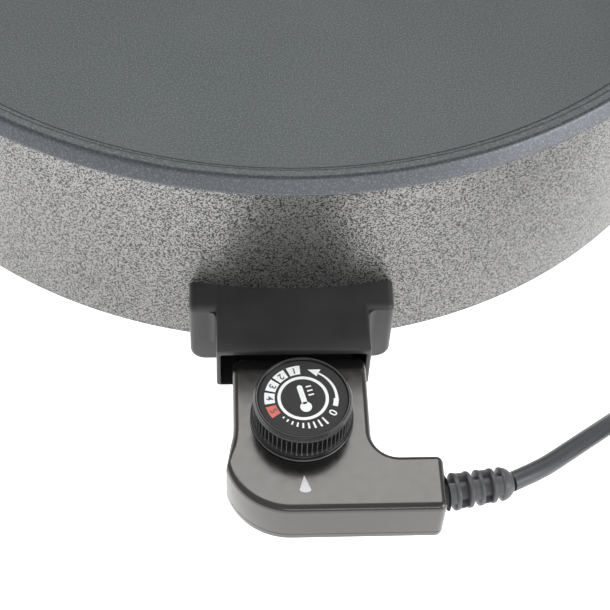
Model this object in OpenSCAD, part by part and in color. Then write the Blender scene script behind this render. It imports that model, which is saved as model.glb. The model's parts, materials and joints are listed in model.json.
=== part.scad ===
// Deep round electric pan (griddle) with a plug-in probe thermostat.
// Frame: +Z up, table at z = 0, thermostat towards -Y, origin under the middle of the object.

/* [Pan] */
// Outer radius of the rim
rim_r = 205; // [200:1:210]
// Height of the rim's lower edge above the table
rim_z = 110; // [106:1:116]
// Height of the rim band, from its lower edge to its top
rim_h = 6.5; // [5.5:0.1:8]
// Distance from the rim's widest edge in to the bend where its outer face starts
rim_slope = 3.7; // [3:0.1:4.5]
// Inner radius of the rim's top band
band_r = 197.6; // [197:0.1:199]
// Inner radius of the ledge that a lid sits on
ledge_r = 192.4; // [190:0.1:193]
// Height of the cooking surface above the table
floor_z = 44; // [43:0.5:46]
// Thickness of the cast floor
floor_t = 4; // [3.5:0.5:4]
// Radius of the curve between the wall and the floor
corner_r = 18; // [14:1:22]

/* [Outer shell] */
// Outer radius of the shell just under the rim
shell_top_r = 203; // [202:0.1:203.1]
// Outer radius of the shell at its bottom edge
shell_bot_r = 198.6; // [197:0.1:200]
// Height of the shell's bottom edge above the table
shell_z = 12.5; // [11:0.5:13]
// Sheet thickness of the shell and the base plate
sheet_t = 1.2; // [1:0.1:1.2]

/* [Socket shroud] */
// Overall width of the shroud
shroud_w = 78.2; // [76:0.2:80]
// Height of the shroud's top above the table
shroud_top = 50; // [49:0.5:50]
// Height of the shroud's lower edge above the table
shroud_bot = 15.5; // [15:0.5:17]
// Distance of the wings' front face from the pan's axis
wing_y = 209.7; // [209:0.1:211]
// Distance of the mouth of the socket from the pan's axis
mouth_y = 229.2; // [228.5:0.1:230]
// Outer width of the socket box
box_w = 58; // [57.6:0.1:58.4]
// Outer height of the socket box
box_h = 23; // [23:0.1:23.4]

/* [Thermostat] */
// Sideways place of the thermostat in its socket
conn_x = 2.1; // [1.8:0.1:2.2]
// Width of the limb that carries the knob
limb_w = 49.6; // [49:0.1:50]
// Distance of the housing's front face from the pan's axis
front_y = 294.4; // [294:0.1:296]
// Reach of the cord foot to the right of the limb's middle
foot_x = 50.2; // [49:0.1:52]
// Depth of the cord foot, front to back
foot_d = 22.1; // [21:0.1:23]
// Radius of the housing's big front left corner
nose_r = 24; // [23:0.5:24]
// Height of the housing's top face above the table
case_top = 46.5; // [46:0.1:46.5]
// Height of the housing
case_h = 20.9; // [20.5:0.1:21]
// Wall thickness of the housing
case_t = 2.2; // [1.8:0.1:2.2]
// Height of the bottom cover
cover_h = 3.4; // [3:0.1:3.6]
// Distance of the knob's axis from the pan's axis
knob_y = 256.3; // [256:0.1:257]

/* [Knob] */
// Radius of the knob's skirt
skirt_r = 18.9; // [18:0.1:19]
// Radius of the knurled grip
grip_r = 17.9; // [17.5:0.1:18]
// Radius of the rim round the dial
dial_rim_r = 16.9; // [16.5:0.1:17]
// Height of the knob
knob_h = 13.7; // [13:0.1:14]

/* [Heating] */
// Radius of the heating element's loop
loop_r = 118; // [116:1:120]
// Radius of the element's sheath
sheath_r = 3.5; // [3.3:0.1:3.5]
// Half the distance between the two contact pins
pin_dx = 13.5; // [13:0.5:14]
// Radius of a contact pin
pin_r = 2.4; // [2.4:0.1:2.4]
// Radius of the temperature probe
probe_r = 3.25; // [3.2:0.05:3.25]

/* [Handles and feet] */
// Height of the middle of a handle above the table
handle_z = 88; // [84:1:92]
// Thickness of a handle
handle_t = 18; // [16:1:20]
// Reach of a handle from the pan's axis
handle_reach = 250; // [246:1:255]
// Distance of a foot from the pan's axis
foot_ring_r = 150; // [145:1:160]
// Radius of a foot
foot_r = 11; // [9:0.5:13]

/* [Cord] */
// Diameter of the cord
cord_d = 7.4; // [7:0.1:7.6]
// Radius of the middle of the coil's turns
coil_r = 40; // [38:0.5:42]

/* [Hidden] */
$fn = 64;
gap = 0.05;                                  // running clearance of a shaft in its hole
pan_y = (front_y - rim_r) / 2;               // centres the object's box on the origin
rim_top = rim_z + rim_h;
ledge_z = rim_top - 4.7;
bend_r = 1.2;                                // rounding of the bend at the rim's top
bend_a = 27;                                 // slope of the rim's outer face, from upright
under_z = floor_z - floor_t;                 // underside of the cast floor
heat_z = under_z - sheath_r - 0.5;           // height of the element, the pins and the probe
wall_r = 190;                                // outer radius of the bowl above its corner
plate_z = shell_z + sheet_t;                 // underside of the base plate
plate_r = shell_bot_r - sheet_t - 0.6;
boss_pos = [for (a = [30, 150, 270]) [75 * cos(a), 75 * sin(a)]];
foot_pos = [for (a = [45 : 90 : 315]) [foot_ring_r * cos(a), foot_ring_r * sin(a)]];
hem_pos = [for (a = [15 : 60 : 315]) [193.6 * cos(a), 193.6 * sin(a)]];
mouth_t = 2.8;                               // thickness of the socket box's top wall
box_bot = shroud_top - box_h;
mouth_w = box_w - 3.7;
case_bot = case_top - case_h;
seam_z = case_bot + cover_h;                 // joint between the two halves of the housing
nose_w = 42;                                 // the part of the housing inside the socket
nose_y = 210;
nose_z = [heat_z - 6.6, heat_z + 6.6];
nose_wall = 1.6;
collar_r = (nose_z[1] - nose_z[0]) / 2 - nose_wall - gap;
rear_y = mouth_y - 1.6;
limb = limb_w / 2;
tip_x = limb + 3.6;                          // reach of the big corner to the left of the limb's middle
flare_y = [-262, -277.5];                    // where the left side widens to the big corner
knob_z = case_top + 0.4;
grip_z = knob_z + 4.4;
bevel_z = knob_z + knob_h - 2.6;
dial_z = knob_z + knob_h - 0.9;
spindle_r = 3;
probe_tip = 150;
pin_end = 222;
case_bosses = [[-18.5, -236], [18.5, -236], [-10, -287], [37, -276]];
clamp_pos = [[24, -286], [24, -277]];
relief_at = [conn_x + foot_x, -238.2, 36.4];
relief_turn = 10.5;                          // the relief points a little towards the pan
relief_dip = 2.3;
relief_l = 26;
cord_r = cord_d / 2;
coil_at = [191.2, -192.9];
coil_h = 3 * cord_d;                         // three layers of turns
cord_route = [
    [77.6, -233.5, 35.4], [82, -231, 34.3], [88, -227.3, 32.5], [94.4, -222.7, 30.2],
    [107, -212.3, 25.4], [119.5, -201.5, 19.6], [131, -191.2, 13.7], [142, -181, 8.8],
    [152, -170.7, 5.2], [162.5, -159.9, cord_r]
];
tail_route = [
    [180, -150.6, 2.5 * cord_d], [190.5, -147.7, 17.9], [201, -143.8, 16.8], [210.5, -137.1, 15.9],
    [217.3, -127.8, 15.6], [220.9, -117.2, 16], [222.1, -107.4, 16.9], [222.3, -98, 17.5]
];
plug_at = [222.3, -98, 17.5];
plug_r = 17.5;
plug_face = 42;                              // from the cord's entry to the plug's front face
plug_pin_r = 2.4;
plug_pin_l = 19;

// Moves a child from the pan's own axis to its place in the frame
module at_pan() { translate([0, pan_y, 0]) children(); }

// Moves a child to the limb of the thermostat, on the pan's own axis in y
module at_limb() { translate([conn_x, pan_y, 0]) children(); }

// Points of an arc round c, from angle a0 to a1
function arc(c, r, a0, a1, n) =
    [for (i = [0 : n]) let (a = a0 + (a1 - a0) * i / n) [c[0] + r * cos(a), c[1] + r * sin(a)]];

// Outer radius of the shell at height z
function shell_r(z) =
    shell_bot_r + (shell_top_r - shell_bot_r) * (z - shell_z) / (rim_z - shell_z);

// A rod along y between two distances in front of the pan's axis
module rod_y(r, near, far) { translate([0, -far, 0]) rotate([-90, 0, 0]) cylinder(h = far - near, r = r); }

// A screw that points up, with its head at the bottom
module screw_up(head_r, head_h, shank_r, shank_h) {
    cylinder(h = head_h, r = head_r);
    translate([0, 0, head_h]) cylinder(h = shank_h, r = shank_r);
}

// A cone that follows the outside of the shell, grown by extra
module shell_cone(extra) {
    translate([0, 0, shell_z - 10])
        cylinder(h = 120, r1 = shell_r(shell_z - 10) + extra, r2 = shell_r(shell_z + 110) + extra, $fn = 128);
}

// Half-section of the cast bowl, with its lid ledge and turned-down rim
module bowl_section() {
    polygon(concat(
        [[rim_r, rim_z], [rim_r, rim_z + 0.7]],
        arc([rim_r - rim_slope, rim_top - bend_r], bend_r, bend_a, 90, 5),
        [[band_r + 0.6, rim_top], [band_r, rim_top - 0.5], [band_r - 0.4, ledge_z + 0.4]],
        [[band_r - 0.8, ledge_z]],
        arc([ledge_r + 1, ledge_z - 1], 1, 90, 180, 3),
        arc([wall_r - 4 - corner_r, floor_z + corner_r], corner_r, 0, -90, 8),
        [[0, floor_z], [0, under_z]],
        arc([wall_r - 4 - corner_r, floor_z + corner_r], corner_r + 4, -90, 0, 8),
        [[ledge_r + 3, ledge_z - 3.4], [band_r + 2, ledge_z - 2.8], [band_r + 2.6, rim_top - 3]],
        [[rim_r - 3.8, rim_top - 3], [rim_r - 1.75, rim_z + 2], [rim_r - 1.7, rim_z]]
    ));
}

module pan_bowl() color("dimgray") at_pan() difference() {
    union() {
        rotate_extrude($fn = 128) bowl_section();
        for (p = boss_pos)
            translate([p[0], p[1], plate_z + sheet_t]) cylinder(h = under_z - plate_z, r = 6);
        for (r = [loop_r - 8, loop_r + 3.7]) translate([0, 0, under_z - 7.6]) difference() {
            cylinder(h = 8.6, r = r + 4.3);
            translate([0, 0, -1]) cylinder(h = 10, r = r);
        }
        translate([conn_x - 8, -194.5, heat_z - 6.5]) cube([16, 56, 12]);
    }
    for (p = boss_pos)
        translate([p[0], p[1], plate_z]) cylinder(h = 18, r = 2);
    translate([conn_x - 28, -loop_r - 14, under_z - 8]) cube([20, 24, 8]);
    translate([conn_x + 8, -loop_r - 14, under_z - 8]) cube([20, 24, 8]);
    translate([conn_x, 0, heat_z]) rod_y(probe_r + gap, probe_tip - 3, 200);
}

module outer_shell() color("gray") at_pan() difference() {
    rotate_extrude($fn = 128) polygon([
        [shell_top_r, rim_z + 1.8], [shell_top_r, rim_z - 0.2], [shell_bot_r, shell_z],
        [189, shell_z], [189, plate_z], [shell_bot_r - sheet_t, plate_z],
        [shell_top_r - sheet_t, rim_z - 0.2], [shell_top_r - sheet_t, rim_z + 1.8]
    ]);
    translate([conn_x - 25, -210, 28.6]) cube([50, 30, 18]);
    for (p = hem_pos) translate([p[0], p[1], shell_z - 1]) cylinder(h = 4, r = 1.5);
    for (s = [-1, 1]) translate([s * 33, 0, 32]) rod_y(1.8, 180, 210);
    for (s = [-1, 1], v = [-46, 46])
        translate([s * 190, v, handle_z]) rotate([0, s * 90, 0]) cylinder(h = 20, r = 2.1);
}

module base_plate() color("silver") at_pan() difference() {
    union() {
        translate([0, 0, plate_z]) cylinder(h = sheet_t, r = plate_r, $fn = 128);
        translate([0, 0, plate_z + sheet_t]) difference() {
            cylinder(h = 1.4, r = 100);
            translate([0, 0, -1]) cylinder(h = 4, r = 92);
        }
    }
    for (p = boss_pos) translate([p[0], p[1], plate_z - 1]) cylinder(h = 6, r = 2.2);
    for (p = foot_pos) translate([p[0], p[1], plate_z - 1]) cylinder(h = 6, r = 2.2);
    for (p = hem_pos) translate([p[0], p[1], plate_z - 1]) cylinder(h = 6, r = 1.5);
    for (a = [0 : 30 : 330]) rotate([0, 0, a]) translate([40, 0, plate_z - 1]) cylinder(h = 6, r = 3);
}

module bowl_screws() color("lightgray") at_pan()
    for (p = boss_pos) translate([p[0], p[1], plate_z - 2.4]) screw_up(4, 2.4, 1.95, 15);

module hem_screws() color("lightgray") at_pan()
    for (p = hem_pos) translate([p[0], p[1], shell_z - 1.6]) screw_up(2.7, 1.6, 1.45, 6);

module foot_pads() color([0.12, 0.12, 0.12]) at_pan() for (p = foot_pos) translate(p) difference() {
    rotate_extrude() polygon([
        [0, 0], [foot_r - 1.5, 0], [foot_r - 0.4, 0.6], [foot_r, 1.8], [foot_r + 1, plate_z], [0, plate_z]
    ]);
    translate([0, 0, -1]) cylinder(h = 7, r = 4.4);
    translate([0, 0, 5]) cylinder(h = 12, r = 2.1);
}

module foot_screws() color("lightgray") at_pan()
    for (p = foot_pos) translate([p[0], p[1], 3.6]) screw_up(3.9, 2.4, 2, 14);

module foot_nuts() color("lightgray") at_pan()
    for (p = foot_pos) translate([p[0], p[1], plate_z + sheet_t]) difference() {
        cylinder(h = 3.2, r = 4.05, $fn = 6);
        translate([0, 0, -1]) cylinder(h = 6, r = 2.03);
    }

// Angle, from straight ahead, at which the loop ends on side s
function leg_turn(s) = asin((s * conn_x + pin_dx) / loop_r);

// One cold end of the element: a crimped block on the loop's end and a straight leg
module element_leg(s) {
    block_y = loop_r * cos(leg_turn(s)) - 5;
    translate([conn_x + s * pin_dx, 0, heat_z]) {
        translate([-4.6, -block_y - 14, -3.9]) cube([9.2, 14, 7.8]);
        rod_y(sheath_r, block_y + 8, 193);
    }
}

module heating_element() color("darkslategray") at_pan() {
    translate([0, 0, heat_z]) rotate([0, 0, -90 + leg_turn(1)])
        rotate_extrude(angle = 360 - leg_turn(-1) - leg_turn(1), $fn = 128)
            translate([loop_r, 0]) circle(r = sheath_r);
    element_leg(1);
    element_leg(-1);
}

module element_clamp() color("silver") at_pan() difference() {
    translate([0, 0, under_z - 8.8]) cylinder(h = 1.2, r = loop_r + 8, $fn = 128);
    translate([0, 0, under_z - 10]) cylinder(h = 5, r = loop_r - 8, $fn = 128);
    translate([conn_x - 28, -loop_r - 14, under_z - 10]) cube([56, 24, 5]);
}

module terminal_pins() color("silver") at_pan()
    for (s = [-1, 1]) translate([conn_x + s * pin_dx, 0, heat_z]) {
        rod_y(pin_r, 193, pin_end - 1);
        translate([0, -pin_end + 1, 0]) rotate([90, 0, 0]) cylinder(h = 1, r1 = pin_r, r2 = pin_r - 0.7);
    }

module pin_insulators() color("ivory") at_pan()
    for (s = [-1, 1]) translate([conn_x + s * pin_dx, 0, heat_z]) difference() {
        union() {
            rod_y(4.4, 193, 202);
            rod_y(5.6, 196, 198.5);
        }
        rod_y(pin_r, 190, 210);
    }

module terminal_plate() color("silver") at_pan() difference() {
    translate([conn_x - 23.5, -196, heat_z - 8]) cube([47, 1.5, 16.5]);
    for (s = [-1, 1]) translate([conn_x + s * pin_dx, 0, heat_z]) rod_y(4.45, 190, 200);
    translate([conn_x, 0, heat_z]) rod_y(probe_r + 0.6, 190, 200);
}

// Outline of the shroud seen from the front: square top, round lower corners on the wings
module shroud_front() {
    half = shroud_w / 2;
    translate([0.3, 0]) hull() {
        for (s = [-1, 1]) translate([s * (half - 6), shroud_bot + 6]) circle(r = 6, $fn = 32);
        for (s = [-1, 1]) translate([s * (half - 3), shroud_top - 3]) circle(r = 3, $fn = 32);
    }
}

module socket_shroud() color([0.16, 0.16, 0.16]) at_pan() difference() {
    union() {
        translate([0, -185, 0]) rotate([90, 0, 0]) linear_extrude(height = wing_y - 185) shroud_front();
        translate([0.3 - box_w / 2, -mouth_y, box_bot]) cube([box_w, mouth_y - 190, box_h]);
    }
    shell_cone(0.02);
    translate([0.3 - box_w / 2, -wing_y - 0.01, shroud_bot - 1]) cube([box_w, 30, box_bot - shroud_bot + 1]);
    translate([0.15 - mouth_w / 2, -mouth_y - 1, box_bot + 1]) cube([mouth_w, 60, box_h - mouth_t - 1]);
    for (s = [-1, 1]) translate([s * 33, 0, 32]) rod_y(1.5, 190, 206.5);
}

module shroud_screws() color("lightgray") at_pan()
    for (s = [-1, 1]) translate([s * 33, 0, 32]) {
        rod_y(1.45, 194.6, 205);
        rod_y(3.2, 192.4, 194.6);
    }

// Outline of the handle on the +x side, seen from above
module handle_outline() {
    difference() {
        hull() {
            for (v = [-54, 54]) translate([205, v]) circle(r = 10, $fn = 32);
            for (v = [-38, 38]) translate([handle_reach - 16, v]) circle(r = 16, $fn = 32);
        }
        hull() {
            for (v = [-34, 34]) translate([218, v]) circle(r = 6, $fn = 32);
            for (v = [-30, 30]) translate([227, v]) circle(r = 6, $fn = 32);
        }
    }
}

module handle(s) color([0.14, 0.14, 0.14]) at_pan() difference() {
    translate([0, 0, handle_z - handle_t / 2]) mirror([s < 0 ? 1 : 0, 0, 0])
        linear_extrude(height = handle_t) handle_outline();
    shell_cone(0.02);
    for (v = [-46, 46])
        translate([s * 190, v, handle_z]) rotate([0, s * 90, 0]) cylinder(h = 23, r = 2);
}
module handle_left() handle(-1);
module handle_right() handle(1);

module handle_screws() color("lightgray") at_pan()
    for (s = [-1, 1], v = [-46, 46]) translate([s * 192, v, handle_z]) rotate([0, s * 90, 0]) {
        cylinder(h = 2.4, r = 3.8);
        cylinder(h = 20, r = 1.95);
    }

// Outline of the thermostat's housing seen from above, drawn in by inset
module case_outline(inset) {
    f = -front_y + inset;
    r = nose_r - inset;
    corner = [nose_r - tip_x, nose_r - front_y];
    back = -front_y + foot_d - inset;
    difference() {
        union() {
            translate([-limb + inset, corner[1]]) square([limb_w - 2 * inset, -rear_y - inset - corner[1]]);
            translate(corner) circle(r = r, $fn = 96);
            translate([corner[0], f]) square([limb - inset - corner[0], corner[1] - f]);
            polygon([[-limb + inset, flare_y[0]], [0, flare_y[0]], [0, corner[1]], [corner[0] - r, corner[1]]]);
            translate([0, f]) square([foot_x - inset - 3, back - f]);
            translate([0, f + 3]) square([foot_x - inset, back - f - 5.5]);
            translate([foot_x - inset - 3, f + 3]) circle(r = 3);
            translate([foot_x - inset - 2.5, back - 2.5]) circle(r = 2.5);
            translate([limb - inset, back]) square(10);
        }
        translate([limb - inset + 10, back + 10]) circle(r = 10);
        polygon([[-limb + inset, flare_y[0]], [-tip_x + inset, flare_y[1]], [-40, flare_y[1]], [-40, flare_y[0]]]);
    }
}

// The part of the housing that fills the socket
module case_nose(inset) {
    translate([-nose_w / 2 + inset, -mouth_y - 6, nose_z[0] + inset])
        cube([nose_w - 2 * inset, mouth_y + 6 - nose_y - inset, nose_z[1] - nose_z[0] - 2 * inset]);
}

// Slopes that draw the back of the housing in above and below, so that it enters the socket
module back_slopes() {
    translate([-40, -rear_y - 8, case_top]) rotate([-20, 0, 0]) cube([80, 20, 10]);
    translate([-40, -rear_y - 8, case_bot]) rotate([22, 0, 0]) translate([0, 0, -10]) cube([80, 20, 10]);
}

module case_top_cover() color([0.05, 0.05, 0.05]) at_limb() difference() {
    union() {
        difference() {
            translate([0, 0, seam_z]) linear_extrude(height = case_top - seam_z) case_outline(0);
            back_slopes();
        }
        case_nose(0);
    }
    difference() {
        translate([0, 0, seam_z - 1])
            linear_extrude(height = case_top - case_t - seam_z + 1) case_outline(case_t);
        translate([0, 0, -case_t]) back_slopes();
        for (p = case_bosses) translate([p[0], p[1], seam_z]) cylinder(h = 20, r = 3.2);
    }
    case_nose(nose_wall);
    for (p = case_bosses) translate([p[0], p[1], seam_z - 1]) cylinder(h = 10, r = 1.3);
    translate([0, -knob_y, 30]) cylinder(h = 30, r = spindle_r + gap);
    translate([0, 0, heat_z]) rod_y(probe_r + 0.1, 200, 216);
    for (s = [-1, 1]) translate([s * pin_dx, 0, heat_z]) rod_y(pin_r + 0.4, 200, 216);
    relief_hole();
}
module case_bottom_cover() color([0.06, 0.06, 0.06]) at_limb() difference() {
    translate([0, 0, case_bot]) linear_extrude(height = cover_h) case_outline(0);
    difference() {
        translate([0, 0, case_bot + 2.2]) linear_extrude(height = cover_h) case_outline(case_t);
        translate([-40, -238, case_bot]) cube([80, 20, 10]);
        for (p = clamp_pos) translate([p[0], p[1], case_bot]) cylinder(h = cover_h, r = 2.6);
    }
    for (p = clamp_pos) translate([p[0], p[1], case_bot + 1.5]) cylinder(h = cover_h, r = 1.25);
    back_slopes();
    for (p = case_bosses) translate([p[0], p[1], case_bot - 1]) cylinder(h = 5, r = 1.6);
    for (p = case_bosses) translate([p[0], p[1], case_bot - 1]) cylinder(h = 2, r = 2.9);
}

module case_screws() color("lightgray") at_limb()
    for (p = case_bosses) translate([p[0], p[1], case_bot + 0.3]) screw_up(2.7, 0.7, 1.25, 9);

// Places a child on the axis of the strain relief, z along the cord
module on_relief() {
    translate(relief_at) rotate([0, 0, relief_turn]) rotate([0, 90 + relief_dip, 0]) children();
}

module relief_hole() {
    translate([-conn_x, -pan_y, 0]) on_relief() translate([0, 0, -6]) cylinder(h = 12, r = 5.1);
}

module strain_relief() color([0.32, 0.33, 0.35]) on_relief() difference() {
    union() {
        translate([0, 0, -6.2]) cylinder(h = 2, r = 6.6);
        translate([0, 0, -5]) cylinder(h = 7, r = 5);
        translate([0, 0, 1.3]) cylinder(h = relief_l - 1.3, r1 = 7, r2 = 6.1);
    }
    translate([0, 0, -10]) cylinder(h = 40 + relief_l, r = cord_r);
}

module probe_rod() color("silver") at_limb() translate([0, 0, heat_z]) {
    rod_y(probe_r, probe_tip + 1, 240);
    translate([0, -probe_tip - 1, 0]) rotate([-90, 0, 0]) cylinder(h = 1, r1 = probe_r, r2 = probe_r - 1);
}

module probe_collar() color("silver") at_limb() translate([0, 0, heat_z]) difference() {
    union() {
        rod_y(collar_r, nose_y + nose_wall + gap, 215);
        rod_y(4.4, 213, 228);
        translate([-4.4, -236, -4.4]) cube([8.8, 10, 8.8]);
    }
    rod_y(probe_r, 200, 250);
}

module contact_sockets() color("gold") at_limb()
    for (s = [-1, 1]) translate([s * pin_dx, 0, heat_z]) difference() {
        union() {
            rod_y(3.4, 211.8, 232);
            translate([-0.5, -238, -3]) cube([1, 7, 6]);
        }
        rod_y(pin_r + gap, 200, 223);
    }

module switch_block() color("tan") at_limb() difference() {
    translate([-17, -247, seam_z + 0.4]) cube([34, 6.2, 9.5]);
    for (s = [-1, 1]) translate([s * 10, -244, seam_z - 1]) cylinder(h = 14, r = 1.2);
}

module bimetal_arm() color("peru") at_limb() {
    translate([-3, -268, seam_z + 10.2]) cube([6, 27, 0.7]);
    translate([-3, -241.7, seam_z + 9.9]) cube([6, 0.7, 0.3]);
}

module contact_springs() color("gold") at_limb() for (s = [-1, 1]) {
    translate([s * 8 - 2, -266, seam_z + 5]) cube([4, 19, 0.5]);
    translate([s * 8, -263, seam_z + 5.5]) cylinder(h = 1.2, r = 1.6);
}

module cord_clamp() color("ivory") at_limb() difference() {
    translate([20, -288.5, seam_z + 1]) cube([8, 14, 3.6]);
    for (p = clamp_pos) translate([p[0], p[1], seam_z]) cylinder(h = 10, r = 1.25);
}

module clamp_screws() color("lightgray") at_limb() for (p = clamp_pos)
    translate([p[0], p[1], seam_z + 5.8]) mirror([0, 0, 1]) screw_up(2.2, 1.2, 1.2, 5.4);

module knob_cap() color([0.1, 0.1, 0.1]) at_limb() translate([0, -knob_y, 0]) rotate_extrude() polygon(concat(
    [[spindle_r, knob_z + 2], [7, knob_z + 2], [7, knob_z + 9], [15, knob_z + 9], [16.2, knob_z]],
    [[skirt_r - 0.4, knob_z], [skirt_r, knob_z + 0.6], [skirt_r, knob_z + 2.4]],
    [[skirt_r - 0.4, grip_z - 0.6], [grip_r, grip_z], [grip_r, bevel_z]],
    arc([dial_rim_r - 0.2, knob_z + knob_h - 0.7], 0.7, 10, 160, 5),
    [[dial_rim_r - 0.9, dial_z], [dial_rim_r - 0.9, dial_z - 0.6], [spindle_r, dial_z - 0.6]]
));

module dial_disc() color("black") at_limb()
    translate([0, -knob_y, dial_z - 0.6]) cylinder(h = 0.6, r = dial_rim_r - 0.95);

module knob_spindle() color("silver") at_limb()
    translate([0, -knob_y, seam_z + 11.6]) cylinder(h = dial_z - 0.6 - seam_z - 11.6, r = spindle_r);

module spindle_cam() color("ivory") at_limb() translate([0, -knob_y, seam_z + 11.9]) difference() {
    cylinder(h = 3.1, r = 8);
    translate([0, 0, -1]) cylinder(h = 6, r = spindle_r);
    translate([0, 0, 1]) difference() {
        cylinder(h = 3, r = 9);
        translate([0, 0, -1]) cylinder(h = 5, r = 5.5);
        translate([-9, 0, -1]) cube([18, 9, 5]);
    }
}

// Direction of the route at point i
function way(p, i) = let (d = p[min(i + 1, len(p) - 1)] - p[max(i - 1, 0)]) d / norm(d);

// A point on the smooth curve through the route's points
function curve_at(p, i, t) =
    let (a = p[max(i - 1, 0)], b = p[i], c = p[i + 1], d = p[min(i + 2, len(p) - 1)])
    0.5 * ((2 * b) + (c - a) * t + (2 * a - 5 * b + 4 * c - d) * t * t + (3 * b - a - 3 * c + d) * t * t * t);

// The route with steps points between each pair of its own
function smooth(p, steps) = concat(
    [for (i = [0 : len(p) - 2], k = [0 : steps - 1]) curve_at(p, i, k / steps)], [p[len(p) - 1]]);

// A round tube through the points of a route
module tube(p, r, sides) {
    n = len(p);
    rings = [for (i = [0 : n - 1])
        let (t = way(p, i), u = cross(t, [0, 0, 1]), x = u / norm(u), y = cross(x, t))
        for (k = [0 : sides - 1]) p[i] + r * (x * cos(360 * k / sides) + y * sin(360 * k / sides))];
    sides_of = [for (i = [0 : n - 2], k = [0 : sides - 1]) let (m = (k + 1) % sides)
        [i * sides + k, i * sides + m, (i + 1) * sides + m, (i + 1) * sides + k]];
    first = [for (k = [sides - 1 : -1 : 0]) k];
    last = [for (k = [0 : sides - 1]) (n - 1) * sides + k];
    polyhedron(points = rings, faces = concat(sides_of, [first, last]));
}

module cord() color([0.3, 0.31, 0.32]) tube(smooth(cord_route, 2), cord_r - 0.02, 10);

module cord_tail() color([0.3, 0.31, 0.32]) tube(smooth(tail_route, 2), cord_r - 0.02, 10);

module cord_coil() color([0.3, 0.31, 0.32]) translate(coil_at)
    rotate_extrude($fn = 96) translate([coil_r - cord_d, 0]) square([2 * cord_d, coil_h]);

module coil_tie() color([0.1, 0.1, 0.1]) translate(coil_at) rotate([0, 0, 215]) difference() {
    translate([coil_r - cord_d - 1.1, -3, 0]) cube([2 * cord_d + 2.2, 6, coil_h + 1.1]);
    rotate_extrude($fn = 96) translate([coil_r - cord_d, -1]) square([2 * cord_d, coil_h + 1]);
}

module plug_body() color([0.13, 0.13, 0.13]) translate(plug_at) rotate([-90, 0, 0]) difference() {
    union() {
        cylinder(h = 18, r1 = 5, r2 = 7.5);
        translate([0, 0, 16]) cylinder(h = 8, r1 = 9, r2 = plug_r);
        translate([0, 0, 24]) cylinder(h = plug_face - 24, r = plug_r);
    }
    translate([0, 0, -1]) cylinder(h = 13, r = cord_r);
    for (s = [-1, 1]) translate([s * 9.5, 0, plug_face - 8]) cylinder(h = 10, r = plug_pin_r - 0.5);
}

module plug_pins() color("silver") translate(plug_at) rotate([-90, 0, 0])
    for (s = [-1, 1]) translate([s * 9.5, 0, plug_face]) {
        translate([0, 0, -8]) cylinder(h = 9, r = plug_pin_r - 0.5);
        cylinder(h = plug_pin_l - 1, r = plug_pin_r);
        translate([0, 0, plug_pin_l - 1]) cylinder(h = 1, r1 = plug_pin_r, r2 = plug_pin_r - 0.9);
    }

pan_bowl();
outer_shell();
base_plate();
bowl_screws();
hem_screws();
foot_pads();
foot_screws();
foot_nuts();
heating_element();
element_clamp();
terminal_pins();
pin_insulators();
terminal_plate();
socket_shroud();
shroud_screws();
handle_left();
handle_right();
handle_screws();
case_top_cover();
case_bottom_cover();
case_screws();
probe_rod();
probe_collar();
contact_sockets();
switch_block();
bimetal_arm();
contact_springs();
cord_clamp();
clamp_screws();
strain_relief();
knob_cap();
dial_disc();
knob_spindle();
spindle_cam();
cord();
cord_coil();
coil_tie();
cord_tail();
plug_body();
plug_pins();
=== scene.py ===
"""Looks of the deep round electric pan with its plug-in probe thermostat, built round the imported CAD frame.

Sizes are millimetres in the frame of the CAD model: +Z up, table at z = 0, thermostat towards -Y.
A "pan" coordinate is measured from the pan's own axis, a "limb" coordinate from the thermostat's middle.
"""

import json
import math

import bmesh
import bpy
from mathutils import Matrix, Vector


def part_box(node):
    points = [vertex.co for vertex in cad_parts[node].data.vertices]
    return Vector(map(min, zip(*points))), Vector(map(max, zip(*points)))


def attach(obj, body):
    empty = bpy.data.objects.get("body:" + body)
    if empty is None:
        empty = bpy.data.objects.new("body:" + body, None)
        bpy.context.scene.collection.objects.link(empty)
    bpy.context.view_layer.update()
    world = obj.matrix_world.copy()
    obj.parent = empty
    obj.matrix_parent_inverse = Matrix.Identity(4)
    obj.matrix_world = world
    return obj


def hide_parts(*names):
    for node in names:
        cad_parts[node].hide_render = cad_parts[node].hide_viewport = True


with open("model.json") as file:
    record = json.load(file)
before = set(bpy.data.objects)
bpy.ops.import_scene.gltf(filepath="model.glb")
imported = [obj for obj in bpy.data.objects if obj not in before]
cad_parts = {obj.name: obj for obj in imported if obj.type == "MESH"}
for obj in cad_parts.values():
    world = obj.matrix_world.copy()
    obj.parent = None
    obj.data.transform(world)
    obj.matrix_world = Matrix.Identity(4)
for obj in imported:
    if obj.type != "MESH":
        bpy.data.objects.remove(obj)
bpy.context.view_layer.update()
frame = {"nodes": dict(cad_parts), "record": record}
MM = 0.001


# ---------------------------------------------------------------- driving sizes
def box(name):
    """The lowest and the highest corner of a CAD node, in millimetres."""
    low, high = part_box(name)
    return low / MM, high / MM


bowl_low, bowl_high = box("pan_bowl")
shroud_low, shroud_high = box("socket_shroud")
bottom_low, bottom_high = box("case_bottom_cover")
knob_low, knob_high = box("knob_cap")

PAN_Y = (bowl_low.y + bowl_high.y) / 2
RIM_R = (bowl_high.x - bowl_low.x) / 2
RIM_TOP = bowl_high.z
RIM_Z = RIM_TOP - 6.5
BAND_R = RIM_R - 7.4
LEDGE_R = RIM_R - 12.6
LEDGE_Z = RIM_TOP - 4.7
FLOOR_Z = 44.0
FLOOR_T = 4.0
WALL_R = 186.0
CORNER_R = 18.0
SHELL_Z = box("outer_shell")[0].z
SHELL_BOT_R = 198.6
SHELL_TOP_R = 203.0
SHEET_T = 1.2
KNOB_X = (knob_low.x + knob_high.x) / 2
KNOB_Y = (knob_low.y + knob_high.y) / 2
KNOB_Z = knob_low.z
DIAL_Z = box("dial_disc")[1].z
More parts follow.
